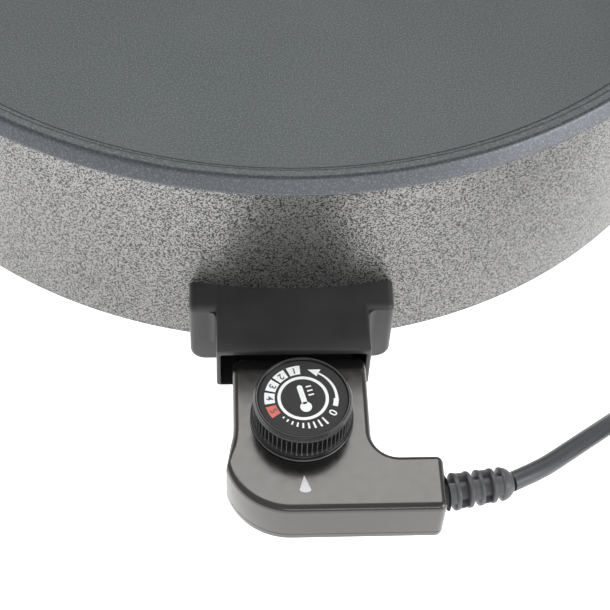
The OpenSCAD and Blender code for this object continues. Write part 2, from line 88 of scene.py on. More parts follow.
# Heights between which the knob's grip has ridges, and the radius of their tips
GRIP = (KNOB_Z + 2.6, KNOB_Z + 11.4)
GRIP_R = 17.9
LIMB_X = KNOB_X
LIMB = 24.8
CASE_TOP = box("case_top_cover")[1].z
CASE_BOT = bottom_low.z
SEAM_Z = bottom_high.z
FRONT_Y = 294.4
REAR_Y = 227.6
FOOT_X = 50.2
FOOT_D = 22.1
NOSE_R = 24.0
CREASE_Y = REAR_Y + 8
HEAT_Z = 36.0
CORD_D = 7.4
COIL_AT = (191.2, -192.9)
COIL_R = 40.0


def shell_r(z):
    """The shell's outer radius at a height."""
    return SHELL_BOT_R + (SHELL_TOP_R - SHELL_BOT_R) * (z - SHELL_Z) / (RIM_Z - SHELL_Z)


# ---------------------------------------------------------------- materials
def node(tree, kind, inputs=None, **attributes):
    """A shader node; an input is either linked to a socket or set to a constant."""
    n = tree.nodes.new(kind)
    for key, value in attributes.items():
        setattr(n, key, value)
    for key, value in (inputs or {}).items():
        if isinstance(value, bpy.types.NodeSocket):
            tree.links.new(value, n.inputs[key])
        else:
            n.inputs[key].default_value = value
    return n


def ramp(tree, factor, stops):
    """A colour ramp with stops of (place, grey or colour)."""
    n = tree.nodes.new("ShaderNodeValToRGB")
    tree.links.new(factor, n.inputs["Fac"])
    elements = n.color_ramp.elements
    while len(elements) < len(stops):
        elements.new(0.5)
    for element, (place, colour) in zip(elements, stops):
        element.position = place
        element.color = (*((colour,) * 3 if isinstance(colour, float) else colour), 1.0)
    return n.outputs["Color"]


def base_material(name, colour, rough, metallic=0.0, specular=0.5):
    """A plain finish, with its node tree, its shader and the place on the object in the frame."""
    m = bpy.data.materials.new(name)
    m.use_nodes = True
    tree = m.node_tree
    shader = tree.nodes["Principled BSDF"]
    shader.inputs["Base Color"].default_value = (*colour, 1.0)
    shader.inputs["Roughness"].default_value = rough
    shader.inputs["Metallic"].default_value = metallic
    shader.inputs["Specular IOR Level"].default_value = specular
    where = node(tree, "ShaderNodeTexCoord").outputs["Object"]
    return m, tree, shader, where


def rough_relief(tree, shader, height, strength, depth):
    """A fine relief on the surface, its depth in millimetres."""
    bump = node(tree, "ShaderNodeBump", {"Height": height, "Strength": strength, "Distance": depth * MM})
    tree.links.new(bump.outputs["Normal"], shader.inputs["Normal"])


def blend(tree, factor, a, b):
    """One colour turning into another."""
    return node(tree, "ShaderNodeMix", {"Factor": factor, "A": a, "B": b}, data_type="RGBA").outputs["Result"]


def from_axis(tree, where, x, y):
    """The distance from an upright axis, in the frame's own units."""
    level = node(tree, "ShaderNodeVectorMath", {0: where, 1: (1, 1, 0), 2: (-x * MM, -y * MM, 0)},
                 operation="MULTIPLY_ADD")
    length = node(tree, "ShaderNodeVectorMath", {0: level.outputs["Vector"]}, operation="LENGTH")
    return length.outputs["Value"]


def step_up(tree, value, low, high):
    """Rises from 0 to 1 between two sizes in millimetres."""
    sizes = {"Value": value, "From Min": low * MM, "From Max": high * MM}
    return node(tree, "ShaderNodeMapRange", sizes).outputs["Result"]


def combined(tree, operation, *values):
    """The result of one sum or comparison."""
    return node(tree, "ShaderNodeMath", dict(enumerate(values)), operation=operation).outputs["Value"]


def grained(name, colour, rough, metallic=0.0, specular=0.5, grain=900.0, depth=0.02, tone=0.12,
            patch=60.0, spread=0.06, stretch=(1, 1, 1), tint=(1, 1, 1)):
    """A finish whose tone drifts over patches, with a fine grain in its relief and its roughness."""
    m, tree, shader, where = base_material(name, colour, rough, metallic, specular)
    shader.inputs["Specular Tint"].default_value = (*tint, 1.0)
    at = node(tree, "ShaderNodeMapping", {"Vector": where, "Scale": stretch}).outputs["Vector"]
    fine = node(tree, "ShaderNodeTexNoise", {"Vector": at, "Scale": grain, "Detail": 3.0})
    wide = node(tree, "ShaderNodeTexNoise", {"Vector": at, "Scale": patch, "Detail": 4.0})
    dark = tuple(c * (1 - tone) for c in colour)
    light = tuple(min(1.0, c * (1 + tone)) for c in colour)
    patches = ramp(tree, wide.outputs["Fac"], [(0.3, dark), (0.7, light)])
    tree.links.new(patches, shader.inputs["Base Color"])
    sheen = node(tree, "ShaderNodeMapRange", {
        "Value": fine.outputs["Fac"], "From Min": 0.3, "From Max": 0.7,
        "To Min": max(0.02, rough - spread), "To Max": min(1.0, rough + spread)})
    tree.links.new(sheen.outputs["Result"], shader.inputs["Roughness"])
    rough_relief(tree, shader, fine.outputs["Fac"], 0.5, depth)
    return m


def nonstick():
    """Grey non-stick coating with metal flake, dark; the sloping faces where its lip turns out get a lighter
    tone, a painted sheen standing in for the light they catch.
    """
    m, tree, shader, where = base_material("nonstick_coat", (0.055, 0.06, 0.063), 0.42, 0.75, 0.42)
    wide = node(tree, "ShaderNodeTexNoise", {"Vector": where, "Scale": 14.0, "Detail": 4.0})
    flat_tone = ramp(tree, wide.outputs["Fac"], [(0.3, (0.041, 0.046, 0.047)), (0.7, (0.049, 0.054, 0.055))])
    spray = node(tree, "ShaderNodeTexNoise", {"Vector": where, "Scale": 1500.0, "Detail": 2.0}).outputs["Fac"]
    flakes = ramp(tree, spray, [(0.48, 0.0), (0.72, 1.0)])
    inside = blend(tree, flakes, flat_tone, (0.09, 0.097, 0.1, 1))
    # painted sheen: a lighter flaked tone for the lip's sloping faces, standing in for the light they catch
    outside = blend(tree, flakes, (0.11, 0.117, 0.127, 1), (0.19, 0.2, 0.217, 1))
    normal = node(tree, "ShaderNodeTexCoord").outputs["Normal"]
    upward = node(tree, "ShaderNodeSeparateXYZ", {"Vector": normal}).outputs["Z"]
    on_lip = step_up(tree, from_axis(tree, where, 0, PAN_Y), BAND_R - 0.5, BAND_R + 1)
    # painted sheen mask: lip faces that tilt away from straight up get the lighter tone
    painted_lip_sheen = combined(tree, "MULTIPLY", ramp(tree, upward, [(0.72, 1.0), (0.99, 0.0)]), on_lip)
    tree.links.new(blend(tree, painted_lip_sheen, inside, outside), shader.inputs["Base Color"])
    rough_relief(tree, shader, spray, 0.4, 0.05)
    return m


def hammer_paint():
    """Hammer-finish paint: light raised ground broken by small dark winding pits."""
    m, tree, shader, where = base_material("hammer_paint", (0.2, 0.2, 0.2), 0.33, 0.72)
    worms = node(tree, "ShaderNodeTexNoise", {
        "Vector": where, "Scale": 1480.0, "Detail": 0.0, "Distortion": 0.6}).outputs["Fac"]
    wide = node(tree, "ShaderNodeTexNoise", {"Vector": where, "Scale": 20.0, "Detail": 2.0})
    drift = node(tree, "ShaderNodeMapRange", {"Value": wide.outputs["Fac"], "To Min": 0.92, "To Max": 1.08})
    colour = ramp(tree, worms, [
        (0.40, (0.052, 0.052, 0.051)), (0.48, (0.160, 0.159, 0.155)), (0.56, (0.30, 0.296, 0.289))])
    toned = node(tree, "ShaderNodeVectorMath", {0: colour, 3: drift.outputs["Result"]}, operation="SCALE")
    tree.links.new(toned.outputs["Vector"], shader.inputs["Base Color"])
    rough_relief(tree, shader, ramp(tree, worms, [(0.38, 0.0), (0.56, 1.0)]), 0.6, 0.12)
    return m


def knob_finish():
    """Black knob plastic with painted highlights: a pale tone along the crests of its ridges and on the edge
    of its flange, standing in for the light they catch.
    """
    m = grained("knob_plastic", (0.008, 0.008, 0.009), 0.2, tone=0.2)
    tree = m.node_tree
    where = node(tree, "ShaderNodeTexCoord").outputs["Object"]
    height = node(tree, "ShaderNodeSeparateXYZ", {"Vector": where}).outputs["Z"]
    radius = from_axis(tree, where, KNOB_X, KNOB_Y)
    # painted highlight mask: the crests of the grip's ridges and the flange's outer edge
    tips = step_up(tree, radius, GRIP_R - 0.35, GRIP_R - 0.02)
    on_grip = combined(tree, "COMPARE", height, sum(GRIP) / 2 * MM, ((GRIP[1] - GRIP[0]) / 2 - 0.2) * MM)
    flange = step_up(tree, radius, GRIP_R + 0.7, GRIP_R + 0.9)
    painted_highlight = combined(tree, "MAXIMUM", combined(tree, "MULTIPLY", tips, on_grip), flange)
    base = tree.nodes["Principled BSDF"].inputs["Base Color"]
    # the pale grey painted highlight is blended over the black plastic
    tree.links.new(blend(tree, painted_highlight, base.links[0].from_socket, (0.16, 0.16, 0.165, 1)), base)
    return m


MATERIALS = {
    "nonstick": nonstick(),
    "hammer_paint": hammer_paint(),
    "plain_sheet": grained("plain_sheet", (0.55, 0.56, 0.57), 0.38, 0.9, grain=700, tone=0.1,
                           stretch=(1, 12, 1)),
    "zinc_screw": grained("zinc_screw", (0.6, 0.59, 0.55), 0.3, 1.0, grain=1500, tone=0.15, patch=300),
    "foot_plastic": grained("foot_plastic", (0.02, 0.02, 0.02), 0.6, grain=1200, depth=0.05),
    "element_steel": grained("element_steel", (0.16, 0.15, 0.15), 0.45, 0.9, grain=900, tone=0.3),
    "ceramic_bead": grained("ceramic_bead", (0.75, 0.72, 0.64), 0.6, grain=1500, tone=0.06),
    "shroud_plastic": grained("shroud_plastic", (0.047, 0.047, 0.048), 0.34, specular=0.3, grain=1500,
                              depth=0.12, tone=0.15),
    "case_plastic": grained("case_plastic", (0.012, 0.0115, 0.011), 0.2, specular=0.9, grain=260, tone=0.25,
                            patch=40, spread=0.04, tint=(1.0, 0.975, 0.94)),
    "knob_plastic": knob_finish(),
    "dial_print": grained("dial_print", (0.012, 0.012, 0.012), 0.22, specular=0.14, grain=700, depth=0.01,
                          tone=0.2),
    "pin_metal": grained("pin_metal", (0.72, 0.71, 0.68), 0.22, 1.0, grain=1400, tone=0.06,
                         stretch=(1, 0.1, 1)),
    "brass": grained("brass", (0.6, 0.42, 0.16), 0.3, 1.0, grain=1400, tone=0.12),
    "phenolic": grained("phenolic", (0.22, 0.13, 0.06), 0.6, grain=1000, tone=0.15),
    "nylon": grained("nylon", (0.7, 0.69, 0.62), 0.5, grain=1000, tone=0.04),
    "relief_rubber": grained("relief_rubber", (0.062, 0.063, 0.067), 0.46, grain=1300, depth=0.05,
                             tone=0.15),
    "cord_pvc": grained("cord_pvc", (0.045, 0.048, 0.053), 0.36, grain=1100, depth=0.04, tone=0.12),
}


def ink(name, colour, tone=0.05):
    """A printed colour, its grain finer than that of the plastic under it."""
    return grained(name, colour, 0.4, grain=1500, depth=0.01, tone=tone, patch=400)


PRINT_WHITE = ink("print_white", (0.82, 0.83, 0.84))
PRINT_RED = ink("print_red", (0.62, 0.09, 0.06), 0.08)
PRINT_DARK = ink("print_dark", (0.05, 0.05, 0.06), 0.1)
POINTER_GREY = ink("pointer_grey", (0.62, 0.63, 0.66))


# ---------------------------------------------------------------- mesh helpers
def circle(n, r, centre=(0, 0)):
    """Points of a whole circle."""
    turns = [2 * math.pi * i / n for i in range(n)]
    return [(centre[0] + r * math.cos(a), centre[1] + r * math.sin(a)) for a in turns]


def arc(centre, r, a0, a1, steps):
    """Points of an arc, angles in degrees, both ends included."""
    turns = [math.radians(a0 + (a1 - a0) * i / steps) for i in range(steps + 1)]
    return [(centre[0] + r * math.cos(a), centre[1] + r * math.sin(a)) for a in turns]


def loft(rings, caps=(True, True), wrap=False):
    """Vertices and faces of a skin through rings of equally many points."""
    n = len(rings[0])
    vertices = [p for ring in rings for p in ring]
    faces = []
    for k in range(len(rings) if wrap else len(rings) - 1):
        a, b = k * n, (k + 1) % len(rings) * n
        faces += [(a + i, a + (i + 1) % n, b + (i + 1) % n, b + i) for i in range(n)]
    if not wrap:
        if caps[0]:
            faces.append(tuple(range(n))[::-1])
        if caps[1]:
            faces.append(tuple(range((len(rings) - 1) * n, len(rings) * n)))
    return vertices, faces


def revolve(profile, n, x=0.0, y=0.0, radius=None):
    """Rings of a turned shape from (r, z) points; radius may change r by angle and height."""
    rings = []
    for r, z in profile:
        ring = []
        for i in range(n):
            a = 2 * math.pi * i / n
            here = radius(r, z, a) if radius else r
            ring.append((x + here * math.cos(a), y + here * math.sin(a), z))
        rings.append(ring)
    return rings


def add(name, data):
    """A new object in the scene."""
    o = bpy.data.objects.new(name, data)
    bpy.context.scene.collection.objects.link(o)
    return o


def skin(name, parts, matrix=None):
    """One mesh from (vertices, faces) parts in millimetres."""
    bm = bmesh.new()
    for vertices, faces in parts:
        made = [bm.verts.new((matrix @ Vector(p) if matrix else Vector(p)) * MM) for p in vertices]
        for f in faces:
            bm.faces.new([made[i] for i in f])
    bmesh.ops.recalc_face_normals(bm, faces=bm.faces)
    mesh = bpy.data.meshes.new(name)
    bm.to_mesh(mesh)
    bm.free()
    return mesh


def smoothed(mesh, sharp):
    """Smooth shading, broken at edges sharper than an angle in degrees."""
    mesh.shade_smooth()
    mesh.set_sharp_from_angle(angle=math.radians(sharp))


def piece(name, parts, material, body, replaces=(), sharp=35, matrix=None):
    """One mesh object from (vertices, faces) parts in millimetres, riding on a body."""
    mesh = skin(name, parts, matrix)
    mesh.materials.append(material)
    smoothed(mesh, sharp)
    o = add(name, mesh)
    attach(o, body)
    if replaces:
        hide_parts(*replaces)
    return o


def cut(o, parts, sharp=35):
    """Takes solids away from a piece and puts the result in its mesh."""
    tool = add("tool", skin("tool", parts))
    modifier = o.modifiers.new("cut", "BOOLEAN")
    modifier.operation, modifier.object, modifier.solver = "DIFFERENCE", tool, "EXACT"
    result = bpy.data.meshes.new_from_object(o.evaluated_get(bpy.context.evaluated_depsgraph_get()))
    o.modifiers.clear()
    bpy.data.objects.remove(tool)
    name = o.data.name
    o.data = result
    result.name = name
    smoothed(result, sharp)


def block(x0, x1, y0, y1, z0, z1):
    """A box between two corners."""
    ring = [(x0, y0), (x1, y0), (x1, y1), (x0, y1)]
    return loft([[(x, y, z) for x, y in ring] for z in (z0, z1)])


def rod_y(x, z, r, y0, y1, n=32):
    """A cylinder along y."""
    return loft([[(x + p, y, z + q) for p, q in circle(n, r)] for y in (y0, y1)])


def rod_z(x, y, r, z0, z1, n=48):
    """An upright cylinder."""
    return loft([[(x + p, y + q, z) for p, q in circle(n, r)] for z in (z0, z1)])


def rounded(x0, x1, z0, z1, low_r, top_r, steps=6):
    """A rounded rectangle, seen from the front, as points round it; radii for its lower and upper corners."""
    low_r, top_r = max(low_r, 0.05), max(top_r, 0.05)
    return (arc((x0 + low_r, z0 + low_r), low_r, 180, 270, steps)
            + arc((x1 - low_r, z0 + low_r), low_r, 270, 360, steps)
            + arc((x1 - top_r, z1 - top_r), top_r, 0, 90, steps)
            + arc((x0 + top_r, z1 - top_r), top_r, 90, 180, steps))


# ---------------------------------------------------------------- bowl and shell
ROUND = 256
# The rim's upper edges: the rounding over the ledge's wall, and the bend before the sloping outer face
BAND_EDGE_R = 1.2
BEND_R = 2.4
BEND_IN = 4.44
BEND_A = 27
bowl_profile = (
    [(20, FLOOR_Z), (90, FLOOR_Z), (160, FLOOR_Z)]
    + arc((WALL_R - CORNER_R, FLOOR_Z + CORNER_R), CORNER_R, -90, 0, 16)
    + [(WALL_R + 3.2, FLOOR_Z + CORNER_R + 24.4), (LEDGE_R - 0.1, LEDGE_Z - 2)]
    + arc((LEDGE_R + 1.5, LEDGE_Z - 1.5), 1.5, 180, 90, 7)
    + [(BAND_R - 1.8, LEDGE_Z), (BAND_R - 1.55, LEDGE_Z - 0.6), (BAND_R - 0.7, LEDGE_Z - 0.6)]
    + arc((BAND_R - 1.2, LEDGE_Z + 0.9), 0.9, -40, -10, 3)
    + arc((BAND_R + BAND_EDGE_R, RIM_TOP - BAND_EDGE_R), BAND_EDGE_R, 180, 90, 7)
    + arc((RIM_R - BEND_IN, RIM_TOP - BEND_R), BEND_R, 90, BEND_A, 10)
    + [(RIM_R - 0.2, RIM_Z + 1.1), (RIM_R, RIM_Z + 0.7)]
    + arc((RIM_R - 0.5, RIM_Z + 0.5), 0.5, 0, -90, 4)
    + arc((RIM_R - 1.3, RIM_Z + 0.4), 0.4, -90, -180, 3)
    + [(RIM_R - 1.75, RIM_Z + 2), (RIM_R - 3.8, RIM_TOP - 3), (BAND_R + 2.6, RIM_TOP - 3),
       (BAND_R + 2, LEDGE_Z - 2.8), (LEDGE_R + 3, LEDGE_Z - 3.4)]
    + arc((WALL_R - CORNER_R, FLOOR_Z + CORNER_R), CORNER_R + 4, 0, -90, 8)
    + [(20, FLOOR_Z - FLOOR_T)]
)
piece("bowl", [loft(revolve(bowl_profile, ROUND, 0, PAN_Y))], MATERIALS["nonstick"], "pan",
      ["pan_bowl"], sharp=50)

# The shell's turned-in hem, and the opening in its front for the probe and the contacts
HEM_R = 189.0
PORT_HALF_W = 25
PORT = (28.6, 46.6)
shell_profile = (
    [(SHELL_TOP_R, RIM_Z + 1.8), (SHELL_TOP_R, RIM_Z - 0.2), (shell_r(SHELL_Z + 60), SHELL_Z + 60),
     (shell_r(SHELL_Z + 1.4), SHELL_Z + 1.4)]
    + arc((SHELL_BOT_R - 1.4, SHELL_Z + 1.4), 1.4, 0, -90, 6)
    + [(HEM_R + 0.4, SHELL_Z), (HEM_R, SHELL_Z + 0.4), (HEM_R, SHELL_Z + SHEET_T),
       (SHELL_BOT_R - SHEET_T, SHELL_Z + SHEET_T), (SHELL_TOP_R - SHEET_T, RIM_Z - 0.2),
       (SHELL_TOP_R - SHEET_T, RIM_Z + 1.8)]
)
shell = piece("shell", [loft(revolve(shell_profile, ROUND, 0, PAN_Y), wrap=True)],
              MATERIALS["hammer_paint"], "pan", ["outer_shell"], sharp=50)
port = block(LIMB_X - PORT_HALF_W, LIMB_X + PORT_HALF_W, PAN_Y - 210, PAN_Y - 180, *PORT)
cut(shell, [port], sharp=50)


# ---------------------------------------------------------------- socket shroud
SHROUD_X = 0.3
SHROUD_W = 78.2
SHROUD_TOP = shroud_high.z
SHROUD_BOT = shroud_low.z
WING_Y = 209.7
MOUTH_Y = 229.2
BOX_W = 58.0
BOX_BOT = SHROUD_TOP - 23
# The socket's mouth: its left, right, lower and upper faces
MOUTH = (-27.0, 27.3, BOX_BOT + 1, SHROUD_TOP - 2.8)
WING_EDGE_R = 2.4
BOX_CORNER_R = 1.3
BOX_EDGE_R = 0.9
MOUTH_CORNER_R = 0.8
MOUTH_EDGE_R = 0.4
FILLET_R = 3.0


def on_shell(x, z):
    """The y of the shell's front at x and z, in the frame."""
    r = shell_r(z)
    return PAN_Y - math.sqrt(r * r - x * x)


def quarter(r, step):
    """How far a rounded edge is drawn in, and how far it lies behind its front, from side to front."""
    turns = [math.radians(a) for a in range(0, 91, step)]
    return [(r - r * math.cos(a), r - r * math.sin(a)) for a in turns]


def wing(side):
    """One wing of the shroud: a plate with a rounded front, closed by the shell behind."""
    inner = SHROUD_X + side * (BOX_W / 2 - 1.0)

    def ring(inset, y):
        half = SHROUD_W / 2 - inset
        points = rounded(SHROUD_X - half, SHROUD_X + half, SHROUD_BOT + inset, SHROUD_TOP - inset,
                         6 - inset, 3 - inset, 10)
        points = [((max(x, inner) if side > 0 else min(x, inner)), z) for x, z in points]
        return [(x, on_shell(x, z) if y is None else y, z) for x, z in points]

    rings = [ring(0, None)]
    for inset, behind in quarter(WING_EDGE_R, 15):
        rings.append(ring(inset, PAN_Y - WING_Y + behind))
    return loft(rings)


def socket_box():
    """The box round the socket, open in front, with its edges rounded."""
    x0, x1 = SHROUD_X - BOX_W / 2, SHROUD_X + BOX_W / 2
    front = PAN_Y - MOUTH_Y

    def ring(x0, x1, z0, z1, corner_r, y):
        points = rounded(x0, x1, z0, z1, corner_r, corner_r)
        return [(x, on_shell(x, z) + 0.2 if y is None else y, z) for x, z in points]

    rings = [ring(x0, x1, BOX_BOT, SHROUD_TOP, BOX_CORNER_R, None)]
    for d, behind in quarter(BOX_EDGE_R, 15):
        rings.append(ring(x0 + d, x1 - d, BOX_BOT + d, SHROUD_TOP - d, BOX_CORNER_R - d, front + behind))
    m0, m1, m2, m3 = MOUTH
    for behind, d in quarter(MOUTH_EDGE_R, 30):
        rings.append(ring(m0 - d, m1 + d, m2 - d, m3 + d, MOUTH_CORNER_R + d, front + behind))
    rings.append(ring(m0, m1, m2, m3, MOUTH_CORNER_R, None))
    return loft(rings, wrap=True)


def fillet(side):
    """The hollow curve between a wing's front and the side of the box."""
    x, y = SHROUD_X + side * BOX_W / 2, PAN_Y - WING_Y
    hollow = [(x + side * out, y - ahead) for out, ahead in quarter(FILLET_R, 15)]
    section = hollow + [(x + side * FILLET_R, y + 0.8), (x - side * 0.8, y + 0.8),
                        (x - side * 0.8, y - FILLET_R)]
    return loft([[(px, py, z) for px, py in section] for z in (BOX_BOT + 1.5, SHROUD_TOP - 2.2)])


piece("shroud", [wing(-1), wing(1), socket_box(), fillet(-1), fillet(1)], MATERIALS["shroud_plastic"],
      "pan", ["socket_shroud"])


# ---------------------------------------------------------------- handles
HANDLE_Z = 88.0
HANDLE_T = 18.0
HANDLE_POINTS = 128
# Rounding of the handle's outer edges and of the edges round its opening
HANDLE_OUT_R = 5.5
HANDLE_IN_R = 4.0


def hull(circles, inset, n):
    """Points round the convex hull of circles, drawn in by inset, one for each of n directions."""
    points = []
    for i in range(n):
        a = 2 * math.pi * (i + 0.5) / n
        c, s = math.cos(a), math.sin(a)
        x, y, r = max(circles, key=lambda k: k[0] * c + k[1] * s + k[2])
        points.append((x + (r - inset) * c, y + (r - inset) * s))
    return points


def handle(side):
    """One side handle: a loop whose ends spread along the shell, and that never enters it."""
    # (distance from the pan's axis, place along the shell, radius) of the corners' circles
    outer = [(205, v, 10) for v in (-54, 54)] + [(234, v, 16) for v in (-38, 38)]
    inner = [(218, v, 6) for v in (-34, 34)] + [(227, v, 6) for v in (-30, 30)]

    def ring(circles, inset, z):
        points = []
        for x, y in hull(circles, inset, HANDLE_POINTS):
            need = shell_r(z) + 0.02
            away = math.hypot(x, y)
            if away < need:
                x, y = x * need / away, y * need / away
            points.append((side * x, PAN_Y + y, z))
        return points

    low, high = HANDLE_Z - HANDLE_T / 2, HANDLE_Z + HANDLE_T / 2
    out_edge, in_edge = quarter(HANDLE_OUT_R, 15), quarter(HANDLE_IN_R, 15)
    rings = [ring(outer, inset, low + rise) for inset, rise in reversed(out_edge)]
    rings += [ring(outer, inset, high - rise) for inset, rise in out_edge]
    rings += [ring(inner, -inset, high - rise) for inset, rise in reversed(in_edge)]
    rings += [ring(inner, -inset, low + rise) for inset, rise in in_edge]
    return loft(rings, wrap=True)


for side, name in ((-1, "handle_left"), (1, "handle_right")):
    piece(name + "_grip", [handle(side)], MATERIALS["shroud_plastic"], "pan", [name])


# ---------------------------------------------------------------- thermostat housing
EDGE_R = 2.6
LOW_EDGE_R = 1.0
SKIN_T = 2.2
REAR_SLOPE = 20
LOW_SLOPE = 22
SPINDLE_HOLE_R = 3.15
# The part of the housing inside the socket: half its width and thickness, its depth, and its wells
NOSE_HALF_W = 21
NOSE_HALF_T = 6.6
NOSE_END = 211
CONTACT_X = 13.5
CONTACT_WELL_R = 3.6
PROBE_WELL_R = 5.3
# Places across the crease of the rear slopes, from its back to its front
CREASE = (1.4, 0.7, 0.0, -0.7, -1.4)
# Points of the outline behind the crease, on its way round the rear end
REAR_POINTS = 14
# The flare of the left side into the big corner: (distance in front, how that grows as the outline is
# drawn in, how far the side stands out there)
FLARE = ((258, 1.6, 0.0), (262, 1.6, 0.25), (265, 1.4, 0.9))
FLARE_OUT = 3.6


def case_outline(d):
    """The housing seen from above, drawn in by d: the limb, its big left corner and the foot for the cord."""
    back = -FRONT_Y + FOOT_D - d
    corner = (NOSE_R - LIMB - FLARE_OUT, NOSE_R - FRONT_Y)
    rear_r, foot_front_r, foot_back_r = max(0.4, 3.0 - d), max(0.3, 3.0 - d), max(0.3, 2.6 - d)
    points = arc((LIMB - d - rear_r, -REAR_Y - d - rear_r), rear_r, 0, 90, 6)
    points += arc((-LIMB + d + rear_r, -REAR_Y - d - rear_r), rear_r, 90, 180, 6)
    points += [(-LIMB + d, -CREASE_Y + past) for past in CREASE]
    points += [(-LIMB + d, -246)] + [(-LIMB + d - out, -at - lean * d) for at, lean, out in FLARE]
    points += arc(corner, NOSE_R - d, 194 - 2.2 * d, 270, 20)
    points += [(x, -FRONT_Y + d) for x in (12, 28)]
    points += arc((FOOT_X - d - foot_front_r, -FRONT_Y + d + foot_front_r), foot_front_r, 270, 360, 6)
    points += arc((FOOT_X - d - foot_back_r, back - foot_back_r), foot_back_r, 0, 90, 6)
    points += arc((LIMB + 10, back + d + 10), 10 + d, 270, 180, 12)
    points += [(LIMB - d, y) for y in (-254, -245)]
    points += [(LIMB - d, -CREASE_Y + past) for past in reversed(CREASE)]
    return points


def slope(y, grade):
    """How far the housing's top, or its underside, is drawn in towards the socket."""
    past = y + CREASE_Y
    soft = 0.7
    if past < -soft:
        return 0.0
    rise = past if past > soft else (past + soft) ** 2 / (4 * soft)
    return rise * math.tan(math.radians(grade))


def case_ring(d, z, upper=True):
    """One level of the housing; levels near the top or the bottom follow its slopes."""
    ring = []
    for x, y in case_outline(d):
        if upper:
            share = min(1.0, max(0.0, (z - SEAM_Z - 4) / (CASE_TOP - SEAM_Z - 4)))
            ring.append((LIMB_X + x, PAN_Y + y, z - share * slope(y, REAR_SLOPE)))
        else:
            share = min(1.0, max(0.0, (SEAM_Z - z) / (SEAM_Z - CASE_BOT)))
            lift = min(slope(y, LOW_SLOPE), SEAM_Z - CASE_BOT - 0.2)
            ring.append((LIMB_X + x, PAN_Y + y, z + share * lift))
    return ring


def case_cap(n, first):
    """Closes a level of the housing with flat faces: the rear slope, strips over its crease, and the rest."""
    last = REAR_POINTS + len(CREASE) - 1
    faces = [[n - 1] + list(range(REAR_POINTS + 1))]
    faces += [[n - 1 - k, REAR_POINTS + k, REAR_POINTS + k + 1, n - 2 - k] for k in range(len(CREASE) - 1)]
    faces.append(list(range(last, n - len(CREASE) + 1)))
    return [tuple(first + i for i in face) for face in faces]


def capped(rings):
    """A skin through levels of the housing, closed at both ends."""
    n = len(rings[0])
    vertices, faces = loft(rings, caps=(False, False))
    return vertices, faces + case_cap(n, 0) + case_cap(n, n * (len(rings) - 1))


def top_cover():
    """The upper half of the housing, from the seam to its rounded top edge."""
    rings = [case_ring(SKIN_T, CASE_TOP - SKIN_T), case_ring(SKIN_T, SEAM_Z), case_ring(0.12, SEAM_Z),
             case_ring(0, SEAM_Z + 0.15)]
    for k in range(9):
        a = math.radians(11.25 * k)
        rings.append(case_ring(EDGE_R * (1 - math.cos(a)), CASE_TOP - EDGE_R * (1 - math.sin(a))))
    return capped(rings + [case_ring(EDGE_R + 0.35, CASE_TOP)])


def bottom_cover():
    """The lower half of the housing, open towards the seam."""
    rings = [case_ring(1.35, CASE_BOT, False)]
    for inset, rise in reversed(quarter(LOW_EDGE_R, 15)):
        rings.append(case_ring(inset, CASE_BOT + rise, False))
    rings += [case_ring(0, SEAM_Z - 0.15, False), case_ring(0.12, SEAM_Z, False),
              case_ring(SKIN_T, SEAM_Z, False), case_ring(SKIN_T, CASE_BOT + SKIN_T, False)]
    return capped(rings)


def nose():
    """The part of the housing inside the socket, with wells round the probe and the two contacts."""
    x0, x1 = LIMB_X - NOSE_HALF_W, LIMB_X + NOSE_HALF_W
    z0, z1 = HEAT_Z - NOSE_HALF_T, HEAT_Z + NOSE_HALF_T
    rings = [[(x, PAN_Y - REAR_Y - 4, z) for x, z in rounded(x0, x1, z0, z1, 2, 2)]]
    for k in range(7):
        a = math.radians(15 * k)
        d = 1.0 - math.cos(a)
        points = rounded(x0 + d, x1 - d, z0 + d, z1 - d, 2 - d, 2 - d)
        rings.append([(x, PAN_Y - NOSE_END + math.sin(a), z) for x, z in points])
    return loft(rings)


def case_piece(name, shape, replaces=(), sharp=30):
    """A piece of the housing."""
    return piece(name, shape, MATERIALS["case_plastic"], "thermostat", replaces, sharp)


cover = case_piece("top_cover", [top_cover()], ["case_top_cover"])
cut(cover, [rod_z(KNOB_X, KNOB_Y, SPINDLE_HOLE_R, CASE_TOP - 6, CASE_TOP + 2)], sharp=30)
wells = [rod_y(LIMB_X + s * CONTACT_X, HEAT_Z, CONTACT_WELL_R, PAN_Y - 224, PAN_Y - 200) for s in (-1, 1)]
wells.append(rod_y(LIMB_X, HEAT_Z, PROBE_WELL_R, PAN_Y - 216, PAN_Y - 200))
cut(case_piece("nose", [nose()]), wells)
case_piece("bottom_cover", [bottom_cover()], ["case_bottom_cover"])

# Small catches on the left side, where the covers clip together
CATCH_Y = PAN_Y - 263.5
CATCH_STEP = 2.6
catches = [block(LIMB_X - LIMB - 0.8 - 0.27 * k, LIMB_X - LIMB + 1, CATCH_Y - CATCH_STEP * k,
                 CATCH_Y + 1.2 - CATCH_STEP * k, 36, 39) for k in range(3)]
case_piece("catches", catches, sharp=35)


# ---------------------------------------------------------------- knob, dial and print
KNURLS = 60
KNURL_T = 0.9
# Inside this radius lie the seat of the dial and the knob's hollow
DIAL_EDGE_R = 17


def knurl(r, z, a):
    """Draws the grip in between its ridges."""
    inside = min(1.0, max(0.0, (z - GRIP[0]) / 0.5), max(0.0, (GRIP[1] - z) / 0.5))
    phase = (a * KNURLS / (2 * math.pi)) % 1.0
    ridge = (0.5 - 0.5 * math.cos(2 * math.pi * phase)) ** 3
    return r - KNURL_T * inside * (1 - ridge) if r > DIAL_EDGE_R else r


